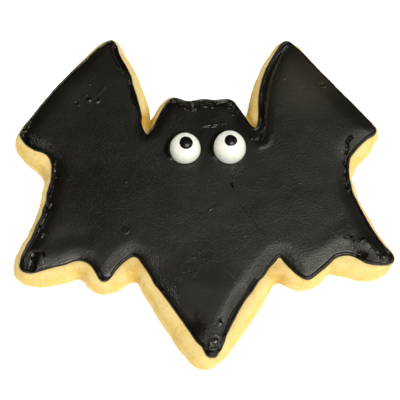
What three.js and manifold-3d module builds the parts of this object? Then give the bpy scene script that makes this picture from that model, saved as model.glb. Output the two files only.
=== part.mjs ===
// A bat-shaped sugar cookie: rolled dough cut with a bat cutter and baked, its top piped and
// flooded with black icing, and two round candy eyes pressed on.
// Millimetres, +Z up. The origin is on the table, under the middle of the cookie.
import * as THREE from "three";
import { mergeVertices } from "three/addons/utils/BufferGeometryUtils.js";
import Module from "manifold-3d";

const wasm = await Module();
wasm.setup();

// Heights of the layers
const DOUGH_THICKNESS = 6.5;
const ICING_THICKNESS = 1.25;
const ICING_TOP = DOUGH_THICKNESS + ICING_THICKNESS;

// How finely an outline is divided, and how much of a side one rounded corner may take
const CORNER_STEPS = 5;
const SIDE_STEPS = 5;
const LONGEST_ROUND = 0.48;
const STRAIGHT_ENOUGH = 0.05;
const SMALLEST_ROUND = 0.15;

// A corner of an outline: where it is, the length of side that its rounding takes, and how
// far the side up to the next corner bows outwards (inwards if less than 0)
const corner = (x, y, round, bow) => ({ at: new THREE.Vector2(x, y), round, bow });

// The cutter's outline, counter-clockwise
const COOKIE_CORNERS = [
  corner(1, -58, 10.5, 1.25), // tail
  corner(22.5, -25.5, 2.5, 0.5), // right notch beside the tail
  corner(30, -29.5, 6, 0.75), // right lobe
  corner(38, -23, 1, 0), // right outer notch
  corner(50.5, -26.5, 4.5, 0.75), // right heel
  corner(58, -19, 0.15, -1.75), // right lower wing tip
  corner(45, 10.5, 5, 1), // right side notch
  corner(55, 24, 2.5, -0.25), // right upper wing tip
  corner(27, 59, 7.5, 2.5), // right ear
  corner(14, 29, 2.5, 0.25), // right notch beside the head
  corner(10, 35.5, 3, -1), // right side of the head
  corner(-9.5, 36, 2, 0.5), // left side of the head
  corner(-15, 28.5, 0.5, 1.5), // left notch beside the head
  corner(-27.5, 59, 5.5, 1.75), // left ear
  corner(-57, 20.5, 2, 1.5), // left upper wing tip
  corner(-47.5, 9.5, 3.5, -2.75), // left side notch
  corner(-56.5, -20, 6.5, 1.5), // left lower wing tip
  corner(-50, -28, 5, 0.75), // left heel
  corner(-35.5, -25, 1, 0.75), // left outer notch
  corner(-28, -31, 6, 0.25), // left lobe
  corner(-19, -25.5, 2, 0.75), // left notch beside the tail
];

// The line that the icing was piped along, counter-clockwise
const ICING_CORNERS = [
  corner(4, -55.5, 5.5, -2), // tail
  corner(23.5, -20, 1.5, 1), // right notch beside the tail
  corner(31.5, -28.5, 2, 0.5), // right lobe
  corner(42.5, -17.5, 5, 3), // right outer notch
  corner(58.5, -22, 4, -2.25), // right lower wing tip
  corner(44.5, 7.5, 5.5, -2.5), // right side notch
  corner(55, 21.5, 3, -0.25), // right upper wing tip
  corner(27, 56, 5, 4), // right ear
  corner(17.5, 21.5, 3, 0), // right notch beside the head
  corner(9.5, 33.5, 2, -0.75), // right side of the head
  corner(-9.5, 33.5, 2, 0.5), // left side of the head
  corner(-16.5, 19.5, 2.5, 1.75), // left notch beside the head
  corner(-28, 55.5, 2, 1.75), // left ear
  corner(-55, 21, 0.5, 3.25), // left upper wing tip
  corner(-44.5, 17.5, 9.5, -4), // left side notch
  corner(-58.5, -29.5, 14, -0.25), // left lower wing tip
  corner(-33.5, -21, 3.5, -0.25), // left outer notch
  corner(-27.5, -31.5, 5.5, -1.5), // left lobe
  corner(-19, -20, 2, 0), // left notch beside the tail
];
const RIGHT_EAR = 7;
const RIGHT_HEAD_NOTCH = 8;
const PIPING_FADE = 0.35; // share of a side over which the piping rises and sinks again

// A level of a lofted piece: how far in from its outline, how high, and how much higher
// still where the piping stands up
const level = (inset, height, piping = 0) => ({ inset, height, piping });

// The baked dough: a tucked-under foot, an upright side and a softly rounded top edge
const COOKIE_LEVELS = [
  level(0.8, 0),
  level(0.2, 0.5),
  level(0, 1.4),
  level(0.1, 3.2),
  level(0.4, 4.6),
  level(0.9, 5.6),
  level(1.6, 6.2),
  level(2.4, 6.45),
  level(3.2, DOUGH_THICKNESS),
];

// The space that the cookie's top edge takes out of the icing, a little wider than the
// cookie where the icing hangs over the rounded edge
const SHOULDER_LEVELS = [
  level(-0.3, 3.2),
  level(0.05, 4.7),
  level(0.5, 5.75),
  level(1.2, 6.35),
  level(2.1, DOUGH_THICKNESS),
];

// The icing: its hanging edge, a thin piped bead, the groove inside it, and the flooded
// surface rolling up to the flat
const ICING_LEVELS = [
  level(0.35, DOUGH_THICKNESS - 1),
  level(0, DOUGH_THICKNESS - 0.3),
  level(-0.05, DOUGH_THICKNESS + 0.3),
  level(0.1, DOUGH_THICKNESS + 0.6, 0.2),
  level(0.45, DOUGH_THICKNESS + 0.8, 0.8),
  level(0.9, DOUGH_THICKNESS + 0.74, 0.1),
  level(1.3, DOUGH_THICKNESS + 0.98, 0.6),
  level(1.75, DOUGH_THICKNESS + 1.14, 0),
  level(2.3, ICING_TOP),
];

// Dents and burst bubbles in the icing: x, y, radius of the ball pressed in, and its depth
const dent = (x, y, radius, depth) => ({ at: [x, y], radius, depth });
const DENTS = [
  dent(-37.4, 31.7, 0.8, 0.5), // three dimples in a row on the left ear
  dent(-34.3, 32.7, 0.8, 0.5),
  dent(-31.4, 32.5, 0.8, 0.5),
  dent(38.3, 38.4, 0.8, 0.5), // bubble by the right ear's outer edge
  dent(-21.6, -12.6, 0.7, 0.45), // bubble on the left wing
  dent(-47.4, -22.3, 2.2, 0.5), // hollow in the left lower wing tip
  dent(3.8, -49.4, 1.3, 0.45), // ring where the piping ended at the tail
  dent(45.6, 11.5, 0.9, 0.5), // short cracks along the right side notch
  dent(44.3, 4.5, 0.8, 0.45),
];

// Blobs of icing left by the piping bag: x, y, radius and how far they stand up
const blob = (x, y, radius, rise) => ({ at: [x, y], radius, rise });
const BLOBS = [
  blob(4, -52.4, 1.5, 0.25), // end of the piping at the tail
  blob(54.2, -21, 1.7, 0.3), // end of the piping at the right lower wing tip
  blob(-44.6, -4.3, 1, 0.3), // beads along the left edge
  blob(-46.2, -13.6, 1, 0.3),
];
const BLOB_SINK = 0.6;
const BALL_ROUND_STEPS = 10;
const BALL_HEIGHT_STEPS = 6;

// The candy eyes: centre, half width across and along, and height; the pupil's half width
const EYES = {
  left: { at: [-4.35, 14.4], halfWidth: 4.65, halfLength: 4.9, height: 5.4, pupil: 1.9 },
  right: { at: [9.1, 14.75], halfWidth: 4.85, halfLength: 5.15, height: 6, pupil: 1.8 },
};
const EYE_FULLNESS = 2.3; // 2 would be a round dome, more is squarer
const EYE_FOOT = 0.9; // the foot's half width, as a share of the eye's
const EYE_WIDEST = 0.6; // height of the widest place
const EYE_STEPS = 7;
const SOCKET_CLEARANCE = 0.3;
const SOCKET_DEPTH = 0.7;
const PUPIL_RISE = 0.45; // height above the socket's rim
const PUPIL_SHOULDER = 0.6; // where the pupil's top starts to round off, as a share
const PUPIL_SHOULDER_DROP = 0.07;
const PUPIL_EDGE_DROP = 0.2;
const ROUND_STEPS = 24;

// Materials
const plain = (color, roughness) =>
  new THREE.MeshStandardMaterial({ color, roughness, metalness: 0 });
const BAKED_DOUGH = "#fce48b";
const BLACK_ICING = "#2b2924";
const CANDY_WHITE = "#fefcf4";
const CANDY_BLACK = "#181718";

// One side of an outline, bowed, from its corner to the next
function sideCurve(from, to) {
  const along = to.at.clone().sub(from.at);
  const outward = new THREE.Vector2(along.y, -along.x).normalize();
  const middle = from.at.clone().lerp(to.at, 0.5).addScaledVector(outward, 2 * from.bow);
  return new THREE.QuadraticBezierCurve(from.at, middle, to.at);
}

// The rounding from one side into the next, tangent to both
function roundedCorner(sideIn, leave, sideOut, join) {
  const start = sideIn.getPoint(leave);
  const end = sideOut.getPoint(join);
  const startDirection = sideIn.getTangent(leave);
  const turn = startDirection.cross(sideOut.getTangent(join));
  const peak = start.clone().lerp(end, 0.5);
  if (Math.abs(turn) > STRAIGHT_ENOUGH) {
    const reach = end.clone().sub(start).cross(sideOut.getTangent(join)) / turn;
    peak.copy(start).addScaledVector(startDirection, reach);
  }
  return new THREE.QuadraticBezierCurve(start, peak, end).getPoints(CORNER_STEPS);
}

// The whole outline as points; each also says how far along the corners it comes
function outline(corners) {
  const next = (k) => (k + 1) % corners.length;
  const previous = (k) => (k + corners.length - 1) % corners.length;
  const sides = corners.map((from, k) => sideCurve(from, corners[next(k)]));
  const lengths = corners.map((from, k) => from.at.distanceTo(corners[next(k)].at));
  const share = (k, side) => Math.min(corners[k].round / lengths[side], LONGEST_ROUND);
  const points = [];
  corners.forEach((_, k) => {
    const leave = 1 - share(k, previous(k));
    const join = share(k, k);
    for (const point of roundedCorner(sides[previous(k)], leave, sides[k], join)) {
      points.push({ point, place: k });
    }
    const end = 1 - share(next(k), k);
    for (let step = 1; step <= SIDE_STEPS; step++) {
      const t = THREE.MathUtils.lerp(join, end, step / (SIDE_STEPS + 1));
      points.push({ point: sides[k].getPoint(t), place: k + t });
    }
  });
  return points;
}

// The same outline moved in by a distance, with as many points as before
function insetCorners(corners, distance) {
  const moved = corners.map(({ at, round }, k) => {
    const before = corners[(k + corners.length - 1) % corners.length];
    const after = corners[(k + 1) % corners.length];
    const arriving = sideCurve(before, corners[k]).getTangent(1);
    const leaving = sideCurve(corners[k], after).getTangent(0);
    const inward = new THREE.Vector2(-arriving.y - leaving.y, arriving.x + leaving.x);
    const reach = distance / (1 + arriving.dot(leaving));
    const turn = Math.atan2(arriving.cross(leaving), arriving.dot(leaving));
    const newRound = Math.max(SMALLEST_ROUND, round - distance * Math.tan(turn / 2));
    return { at: at.clone().addScaledVector(inward, reach), round: newRound };
  });
  return moved.map((place, k) => {
    const old = corners[k].at.distanceTo(corners[(k + 1) % corners.length].at);
    const now = place.at.distanceTo(moved[(k + 1) % corners.length].at);
    return { ...place, bow: corners[k].bow * (now / old) ** 2 };
  });
}

// A closed body lofted through levels of one outline, flat at its bottom and top
function loft(corners, levels, pipingAt = () => 0) {
  const rings = levels.map(({ inset, height, piping }) =>
    outline(insetCorners(corners, inset)).map(
      ({ point, place }) => new THREE.Vector3(point.x, point.y, height + piping * pipingAt(place)),
    ),
  );
  const count = rings[0].length;
  const positions = rings.flat().flatMap((point) => point.toArray());
  const faces = [];
  for (let low = 0; low < rings.length - 1; low++) {
    for (let k = 0; k < count; k++) {
      const a = low * count + k;
      const b = low * count + ((k + 1) % count);
      faces.push(a, b, b + count, a, b + count, a + count);
    }
  }
  const lid = (ring) => THREE.ShapeUtils.triangulateShape(ring, []);
  const lastRing = (rings.length - 1) * count;
  for (const [a, b, c] of lid(rings[0])) faces.push(c, b, a);
  for (const [a, b, c] of lid(rings.at(-1))) faces.push(lastRing + a, lastRing + b, lastRing + c);
  const geometry = new THREE.BufferGeometry();
  geometry.setAttribute("position", new THREE.Float32BufferAttribute(positions, 3));
  geometry.setIndex(faces);
  return geometry;
}

// A three.js geometry as a solid that can be cut and joined, and back again
function toSolid(geometry) {
  const bare = geometry.clone();
  bare.deleteAttribute("normal");
  bare.deleteAttribute("uv");
  const merged = mergeVertices(bare);
  const vertProperties = new Float32Array(merged.attributes.position.array);
  const triVerts = new Uint32Array(merged.index.array);
  return new wasm.Manifold(new wasm.Mesh({ numProp: 3, vertProperties, triVerts }));
}

function toGeometry(solid) {
  const { vertProperties, triVerts } = solid.getMesh();
  const geometry = new THREE.BufferGeometry();
  geometry.setAttribute("position", new THREE.Float32BufferAttribute(vertProperties, 3));
  geometry.setIndex(new THREE.Uint32BufferAttribute(triVerts, 1));
  return geometry;
}

// A ball for pressing dents in and for leaving blobs
function ball([x, y], radius, height, squash) {
  const sphere = new THREE.SphereGeometry(radius, BALL_ROUND_STEPS, BALL_HEIGHT_STEPS);
  sphere.rotateX(Math.PI / 2);
  sphere.scale(1, 1, squash);
  sphere.translate(x, y, height);
  return toSolid(sphere);
}

// The piping stands up along the inner edge of the right ear
function pipingHeight(place) {
  const { smoothstep } = THREE.MathUtils;
  const rising = smoothstep(place, RIGHT_EAR, RIGHT_EAR + PIPING_FADE);
  const falling = smoothstep(place, RIGHT_HEAD_NOTCH, RIGHT_HEAD_NOTCH + PIPING_FADE);
  return rising - falling;
}

// The icing: lofted, given its blobs, cut to lie on the cookie, and dented
function makeIcing() {
  let icing = toSolid(loft(ICING_CORNERS, ICING_LEVELS, pipingHeight));
  for (const { at, radius, rise } of BLOBS) {
    const squash = (rise + BLOB_SINK) / radius;
    icing = icing.add(ball(at, radius, ICING_TOP - BLOB_SINK, squash));
  }
  icing = icing.subtract(toSolid(loft(COOKIE_CORNERS, SHOULDER_LEVELS)));
  for (const { at, radius, depth } of DENTS) {
    icing = icing.subtract(ball(at, radius, ICING_TOP - depth + radius, 1));
  }
  return toGeometry(icing);
}

// Height of a candy eye's dome at a radius
function domeHeight({ halfWidth, height }, radius) {
  const fall = (1 - (radius / halfWidth) ** EYE_FULLNESS) ** (1 / EYE_FULLNESS);
  return EYE_WIDEST + (height - EYE_WIDEST) * fall;
}

// Height of the flat floor of the socket that holds the pupil
const socketFloor = (eye) => domeHeight(eye, eye.pupil + SOCKET_CLEARANCE) - SOCKET_DEPTH;

// A candy eye: a flat-bottomed dome with a shallow round socket in its top
function makeEye(eye) {
  const socket = eye.pupil + SOCKET_CLEARANCE;
  const profile = [new THREE.Vector2(0, 0), new THREE.Vector2(eye.halfWidth * EYE_FOOT, 0)];
  for (let step = 0; step <= EYE_STEPS; step++) {
    const angle = (step / EYE_STEPS) * (Math.PI / 2);
    const radius = THREE.MathUtils.lerp(socket, eye.halfWidth, Math.cos(angle));
    profile.push(new THREE.Vector2(radius, domeHeight(eye, radius)));
  }
  profile.push(new THREE.Vector2(socket, socketFloor(eye)));
  profile.push(new THREE.Vector2(0, socketFloor(eye)));
  return turned(profile, eye.halfLength / eye.halfWidth);
}

// A pupil: a small black dome that sits in the socket
function makePupil({ halfWidth, halfLength, pupil }) {
  const top = SOCKET_DEPTH + PUPIL_RISE;
  const profile = [
    new THREE.Vector2(0, 0),
    new THREE.Vector2(pupil, 0),
    new THREE.Vector2(pupil, SOCKET_DEPTH),
    new THREE.Vector2(pupil - PUPIL_EDGE_DROP, top - PUPIL_EDGE_DROP),
    new THREE.Vector2(pupil * PUPIL_SHOULDER, top - PUPIL_SHOULDER_DROP),
    new THREE.Vector2(0, top),
  ];
  return turned(profile, halfLength / halfWidth);
}

// A turned piece standing upright, stretched a little along Y
function turned(profile, stretch) {
  const geometry = new THREE.LatheGeometry(profile, ROUND_STEPS);
  geometry.rotateX(Math.PI / 2);
  geometry.scale(1, stretch, 1);
  return geometry;
}

function named(name, geometry, material, position = [0, 0, 0]) {
  const mesh = new THREE.Mesh(geometry, material);
  mesh.name = name;
  mesh.position.set(...position);
  return mesh;
}

const bat = new THREE.Group();
bat.add(named("cookie", loft(COOKIE_CORNERS, COOKIE_LEVELS), plain(BAKED_DOUGH, 0.85)));
bat.add(named("icing", makeIcing(), plain(BLACK_ICING, 0.5)));
for (const [side, eye] of Object.entries(EYES)) {
  const [x, y] = eye.at;
  const seat = ICING_TOP + socketFloor(eye);
  bat.add(named(`eye_${side}`, makeEye(eye), plain(CANDY_WHITE, 0.4), [x, y, ICING_TOP]));
  bat.add(named(`pupil_${side}`, makePupil(eye), plain(CANDY_BLACK, 0.3), [x, y, seat]));
}

// The middle of the cookie's box comes over the origin
const box = new THREE.Box3().setFromObject(bat);
const middle = box.getCenter(new THREE.Vector3());
bat.position.set(-middle.x, -middle.y, 0);

const model = new THREE.Group();
model.add(bat);

export default model;
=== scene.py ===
# An iced sugar cookie in the shape of a bat: baked dough, black icing piped and flooded over
# its top, and two round candy eyes. The pieces are worked out in millimetres, and the table,
# the lamps and the camera in metres.
import math

import bpy
import numpy as np
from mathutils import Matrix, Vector, noise
from mathutils.geometry import delaunay_2d_cdt
from mathutils.kdtree import KDTree


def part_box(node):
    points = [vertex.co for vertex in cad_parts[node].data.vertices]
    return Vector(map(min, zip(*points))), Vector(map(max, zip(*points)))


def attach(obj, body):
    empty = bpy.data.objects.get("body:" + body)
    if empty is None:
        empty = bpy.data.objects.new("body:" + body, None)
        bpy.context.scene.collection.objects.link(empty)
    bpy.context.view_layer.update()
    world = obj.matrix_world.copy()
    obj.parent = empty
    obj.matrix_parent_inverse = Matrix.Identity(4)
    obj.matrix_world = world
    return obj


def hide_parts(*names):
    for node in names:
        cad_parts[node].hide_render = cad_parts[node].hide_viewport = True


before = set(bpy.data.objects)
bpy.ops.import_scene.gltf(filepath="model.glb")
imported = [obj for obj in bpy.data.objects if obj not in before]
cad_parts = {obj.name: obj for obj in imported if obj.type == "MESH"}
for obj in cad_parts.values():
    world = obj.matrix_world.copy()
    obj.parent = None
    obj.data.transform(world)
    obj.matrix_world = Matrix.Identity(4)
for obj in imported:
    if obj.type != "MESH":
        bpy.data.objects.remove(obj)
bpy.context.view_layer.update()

# The cookie. Sugar dough rolled out, stamped with a bat cutter and baked until just golden:
# its foot tucks in where it sat on the tray, its side stands upright and its top edge has
# rounded off. The foot and the underside browned first. Its colour is darker in the notches
# as painted shade, and gold on the side walls partly as painted shade and bounce light.
MM = 0.001
SPACING = 0.3
DOUGH_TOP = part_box("cookie")[1].z / MM
DOUGH_LINE_HEIGHT = 1.4
DOUGH_EASE = 0.5
DOUGH_WOBBLE = ((7, 0.14), (1.8, 0.05))
DOUGH_RELIEF = ((5, 0.09), (1.6, 0.05), (0.6, 0.022))
STRAY_REACH = 2.2
NOTCH_POINTS = 14
SIDE_ENDS = 0.5
COARSE = 1.6
SAME_HEIGHT = 0.01
SAME_PLACE = 1e-6
PATH_STEPS = 16
SEED_STEP, BAND_STEP = 31.7, 17.3
CLEAR_SHARE, CLEAR_SLACK = 0.96, 0.01


def corners_at(node, height):
    """The corners of a node's outline at one height, in order, as x and y."""
    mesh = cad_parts[node].data
    spots = [tuple(round(c / MM, 3) for c in v.co) for v in mesh.vertices]
    beside = {}
    for edge in mesh.edges:
        a, b = (spots[i] for i in edge.vertices)
        if a != b and max(abs(a[2] - height), abs(b[2] - height)) < SAME_HEIGHT:
            beside.setdefault(a, set()).add(b)
            beside.setdefault(b, set()).add(a)
    walk = [min(beside, key=lambda spot: (len(beside[spot]), spot))]
    left = set(beside) - set(walk)
    while left:
        here = walk[-1]
        walk.append(min((beside[here] & left) or left, key=lambda spot: math.dist(spot, here)))
        left.discard(walk[-1])
    loop = np.array(walk)[:, :2]
    ahead = np.roll(loop, -1, axis=0)
    area = np.sum(loop[:, 0] * ahead[:, 1] - loop[:, 1] * ahead[:, 0])
    return loop if area > 0 else loop[::-1]


def smooth_path(points, spacing, closed=False):
    """A smooth line through the points, sampled evenly."""
    points = np.array(points, float)
    if closed:
        points = np.vstack([points, points[:1]])
    step = np.diff(points, axis=0)
    length = np.linalg.norm(step, axis=1, keepdims=True)
    pace = step / length
    slope = np.vstack([pace[:1], pace])
    slope[1:-1] = (pace[1:] * length[:-1] + pace[:-1] * length[1:]) / (length[1:] + length[:-1])
    if closed:
        slope[[0, -1]] = (pace[0] * length[-1] + pace[-1] * length[0]) / (length[0] + length[-1])
    t = np.linspace(0, 1, PATH_STEPS, endpoint=False)[:, None, None]
    fine = (2 * t**3 - 3 * t**2 + 1) * points[:-1] + (3 * t**2 - 2 * t**3) * points[1:]
    fine += ((t**3 - 2 * t**2 + t) * slope[:-1] + (t**3 - t**2) * slope[1:]) * length
    fine = np.vstack([fine.transpose(1, 0, 2).reshape(-1, 2), points[-1:]])
    along = np.concatenate([[0], np.cumsum(np.linalg.norm(np.diff(fine, axis=0), axis=1))])
    at = np.linspace(0, along[-1], max(2, round(along[-1] / spacing) + 1))
    even = np.column_stack([np.interp(at, along, fine[:, k]) for k in (0, 1)])
    return even[:-1] if closed else even


def eased(loop, reach):
    """An even loop with its sharp turns rounded off over about that reach."""
    wave = np.fft.fftfreq(len(loop), SPACING)
    kept = np.exp(-2 * (math.pi * reach * wave) ** 2)
    smooth = np.fft.ifft(np.fft.fft(loop[:, 0] + 1j * loop[:, 1]) * kept)
    return np.column_stack([smooth.real, smooth.imag])


def rumple(places, bands, seed):
    """Uneven heights at some places: noise added up from bands of a width and an amount."""
    heights = np.zeros(len(places))
    for k, (width, amount) in enumerate(bands):
        shift = np.array([seed * SEED_STEP, k * BAND_STEP, 0])
        spots = np.pad(places, ((0, 0), (0, 3 - places.shape[1]))) / width + shift
        heights += amount * np.array([noise.noise(spot) for spot in spots.tolist()])
    return heights


class Outline:
    """A closed line seen from above, which can say how far in from it a place lies."""

    def __init__(self, corners, ease, wobble, strays, seed, notches=(), spread=0.0):
        self.loop = eased(smooth_path(corners, SPACING, closed=True), ease)
        for tip in notches:
            self.cut_notch(np.array(tip))
        strays = np.array(strays)
        away = np.linalg.norm(self.loop[:, None] - strays[:, :2], axis=2) / STRAY_REACH
        pull = np.exp(-(away**2))
        outward = pull @ strays[:, 2] / np.maximum(pull.sum(axis=1), 1)
        inward = rumple(self.loop, wobble, seed) - outward - spread
        self.loop += self.find_inward() * inward[:, None]
        self.inward = self.find_inward()
        self.tree = KDTree(len(self.loop))
        for number, (x, y) in enumerate(self.loop):
            self.tree.insert((x, y, 0), number)
        self.tree.balance()

    def cut_notch(self, tip):
        """Runs both sides of a notch straight into its tip."""
        near = np.argmin(np.linalg.norm(self.loop - tip, axis=1))
        for turn in (-1, 1):
            sides = (near + turn * np.arange(NOTCH_POINTS + 1)) % len(self.loop)
            share = np.linspace(0, 1, NOTCH_POINTS + 1)[:, None]
            self.loop[sides] = tip + share * (self.loop[sides[-1]] - tip)

    def find_inward(self):
        along = np.roll(self.loop, -1, axis=0) - np.roll(self.loop, 1, axis=0)
        side = np.column_stack([-along[:, 1], along[:, 0]])
        return side / np.linalg.norm(side, axis=1, keepdims=True)

    def nearest(self, places):
        return np.array([self.tree.find((x, y, 0))[1] for x, y in places[:, :2].tolist()])

    def depth(self, places):
        """How far in from the line each place lies; less than 0 outside it."""
        near = self.nearest(places)
        gap = np.full(len(places), np.inf)
        for first in (near - 1, near):
            start = self.loop[first]
            span = self.loop[(first + 1) % len(self.loop)] - start
            share = np.sum((places - start) * span, axis=1) / np.sum(span**2, axis=1)
            foot = start + np.clip(share, 0, 1)[:, None] * span
            gap = np.minimum(gap, np.linalg.norm(places - foot, axis=1))
        inside = np.sum((places - self.loop[near]) * self.inward[near], axis=1) > 0
        return np.where(inside, gap, -gap)

    def moved_in(self, inset):
        """The line moved in, and which of its points have no other stretch of it nearer."""
        places = self.loop + inset * self.inward
        return places, self.depth(places) > CLEAR_SHARE * inset - CLEAR_SLACK


def lattice(low, high, step):
    """A square lattice of places between two corners."""
    x, y = np.meshgrid(*(np.arange(a, b, step) for a, b in zip(low, high)), indexing="ij")
    return np.column_stack([x.ravel(), y.ravel()])


def tiled(edge, inner):
    """Triangles over the edge loop and the places inside it, as numbers of edge + inner."""
    corners = [Vector(place) for place in np.vstack([edge, inner]).tolist()]
    found = delaunay_2d_cdt(corners, [], [list(range(len(edge)))], 0, SAME_PLACE, True)
    triangles, source, inside = found[2], found[3], found[5]
    kept = [triangle for triangle, outline in zip(triangles, inside) if outline]
    return np.array([origins[0] for origins in source])[np.array(kept)]


def band(first, second):
    """Faces between two rings of point numbers, the first one lower."""
    return np.column_stack([first, np.roll(first, -1), np.roll(second, -1), second])


def solid(name, points, faces):
    """A smooth mesh object of points in mm and faces, without the points that none uses."""
    used = np.unique(np.concatenate([np.ravel(part) for part in faces]))
    number = np.zeros(len(points), int)
    number[used] = np.arange(len(used))
    mesh = bpy.data.meshes.new(name)
    corners = [corner for part in faces for corner in number[part].tolist()]
    mesh.from_pydata((points[used] * MM).tolist(), [], corners)
    mesh.polygons.foreach_set("use_smooth", [True] * len(mesh.polygons))
    made = bpy.data.objects.new(name, mesh)
    bpy.context.scene.collection.objects.link(made)
    return made


def places_of(piece):
    """The points of a piece in mm, and the directions that its surface faces there."""
    mesh = piece.data
    both = []
    for source, field in ((mesh.vertices, "co"), (mesh.vertex_normals, "vector")):
        values = np.empty(3 * len(mesh.vertices))
        source.foreach_get(field, values)
        both.append(values.reshape(-1, 3))
    return both[0] / MM, both[1]


def press(piece, rise):
    """Moves each point of a piece out along its normal by its rise in mm."""
    points, normals = places_of(piece)
    moved = (points + rise[:, None] * normals) * MM
    piece.data.vertices.foreach_set("co", moved.ravel())
    piece.data.update()


def mark_points(piece, name, values):
    """Gives each point of a piece a number that its material can read."""
    layer = piece.data.attributes.new(name, "FLOAT", "POINT")
    layer.data.foreach_set("value", np.asarray(values, np.float32))


def ramp(value, low, high):
    """0 below low, 1 above high, and smooth between them."""
    t = np.clip((value - low) / (high - low), 0, 1)
    return t * t * (3 - 2 * t)


# Where the dough crept off the cutter's line as it was lifted and baked: x, y and how far out
DOUGH_STRAYS = [
    (-57.2, 18.0, -0.1), (-54.5, 13.0, -0.25), (-51.0, 9.8, -0.25), (-48.6, 6.5, -0.5),
    (-48.2, 4.3, -0.6), (-48.3, 1.5, 0.1), (-49.0, -4.0, -0.1), (-50.6, -9.4, -0.15),
    (-52.7, -14.3, -0.35), (-55.0, -18.8, -0.45), (-56.0, -23.5, -0.5), (-54.0, -27.4, -0.28),
    (-50.0, -29.3, -0.35), (-35.5, -27.6, -0.45), (-19.8, -27.9, -0.35), (-15.2, -35.4, -0.3),
    (-4.8, -52.2, -0.28), (6.9, -51.3, 0.28), (22.9, -28.2, -0.15),
    (-9.5, -44.8, -0.25), (33.8, -28.2, 0.4),
    (40.0, -25.4, 0.3), (45.0, -26.6, 0.2), (53.5, -25.2, 0.3), (50.4, -9.0, 0.35),
    (45.8, 2.5, 0.3), (46.0, 9.0, 0.25), (49.2, 13.2, 0.3), (51.0, 16.5, 0.4),
    (53.5, 21.5, 0.45), (47.0, 31.5, 0.3), (31.0, 51.4, 0.35), (28.4, 54.0, -0.2),
    (24.4, 54.2, -0.25), (21.0, 50.3, -0.27), (16.8, 42.0, -0.3), (15.2, 37.0, -0.25),
    (14.3, 33.5, -0.4), (13.7, 30.5, -0.3), (0.4, 33.2, 0.1), (-4.8, 33.5, -0.7),
    (-10.3, 33.9, -0.05), (-14.9, 28.5, -0.1), (-16.4, 29.6, 0.3), (-17.6, 34.5, 0.2),
    (-19.6, 42.0, 0.2), (-23.6, 49.5, -0.25), (-29.5, 55.2, -0.35), (-52.4, 27.8, -0.3),
    (-55.3, 23.3, 0.15), (-34.8, 50.6, 0.2),
]  # fmt: skip

# The two notches beside the head, which ran together as the dough spread: the tip that is
# still open, and where the crease that leads in from it ends
CREASES = [((-15.8, 26.0), (-16.8, 20.4)), ((13.3, 27.2), (16.0, 22.2))]
CREASE_SECTION = np.array([(0, 4.1), (0.3, 4.75), (0.8, 5.5), (1.5, 6.05), (2.6, 6.4), (4, 9)])
CREASE_STEPS = 40
CREASE_SPOTS = 12
CREASE_REACH = 2.5
dough_line = Outline(
    corners_at("cookie", DOUGH_LINE_HEIGHT), DOUGH_EASE, DOUGH_WOBBLE, DOUGH_STRAYS, seed=1,
    notches=[tip for tip, end in CREASES])  # fmt: skip

# The section through the dough's edge: how far in its surface lies at each height
section = smooth_path(
    [(0.8, 0), (0.35, 0.15), (0.06, 0.6), (0, 1.4), (0.1, 3.2), (0.4, 4.6), (0.9, 5.6),
     (1.6, 6.2), (2.4, 6.44), (3.4, DOUGH_TOP)], SPACING)  # fmt: skip
side_rows = section[: np.argmax((section[:, 0] > SIDE_ENDS) & (section[:, 1] > DOUGH_TOP / 2))]
top_rows = section[len(side_rows) :]


def dough_height(places):
    """Height of the dough's top surface; at its very edge, where the upright side starts."""
    rows = section[len(side_rows) - 1 :]
    height = np.interp(dough_line.depth(places), rows[:, 0], rows[:, 1])
    for tip, end in CREASES:
        spots = np.linspace(tip, end, CREASE_STEPS)
        away = np.linalg.norm(places[:, None] - spots[None], axis=2).min(1)
        height = np.minimum(height, np.interp(away, *CREASE_SECTION.T))
    return height


# Its surface: the upright side in rows, the top in rings and a lattice, finer round the
# creases, and the flat underside
INNER_RINGS = (4.0, 4.8)
FIELD_STARTS = 5.8
UNDER_STARTS = 2
CLEARANCE = 0.1
count = len(dough_line.loop)
side = [np.column_stack([dough_line.loop + row[0] * dough_line.inward, np.full(count, row[1])])
        for row in side_rows]  # fmt: skip
rim = side[-1][:, :2]
rings = []
for inset in [*top_rows[:, 0], *INNER_RINGS]:
    places, clear = dough_line.moved_in(inset)
    rings.append(places[clear])
field = lattice(dough_line.loop.min(0), dough_line.loop.max(0), COARSE)
depth = dough_line.depth(field)
crease_spots = np.vstack([np.linspace(tip, end, CREASE_SPOTS) for tip, end in CREASES])
low, high = crease_spots.min(0) - CREASE_REACH, crease_spots.max(0) + CREASE_REACH
creased = lattice(low, high, SPACING)
away = np.linalg.norm(creased[:, None] - crease_spots[None], axis=2).min(1)
creased = creased[(away < CREASE_REACH) & (dough_line.depth(creased) > SIDE_ENDS + CLEARANCE)]
ringed = np.vstack(rings)
away = np.linalg.norm(ringed[:, None] - crease_spots[None], axis=2).min(1)
ringed = ringed[away > CREASE_REACH + CLEARANCE]
inner = np.vstack([ringed, creased, field[depth > FIELD_STARTS]])
top = np.column_stack([inner, dough_height(inner)])
under = field[depth > UNDER_STARTS]
under = np.column_stack([under, np.zeros(len(under))])

rows = np.arange(len(side) * count).reshape(-1, count)
top_numbers = np.concatenate([rows[-1], len(side) * count + np.arange(len(top))])
under_numbers = np.concatenate([rows[0], len(side) * count + len(top) + np.arange(len(under))])
faces = [band(low, high) for low, high in zip(rows, rows[1:])]
faces.append(top_numbers[tiled(rim, inner)])
faces.append(under_numbers[tiled(side[0][:, :2], under[:, :2])][:, ::-1])
cookie = solid("baked_cookie", np.vstack([*side, top, under]), faces)

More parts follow.
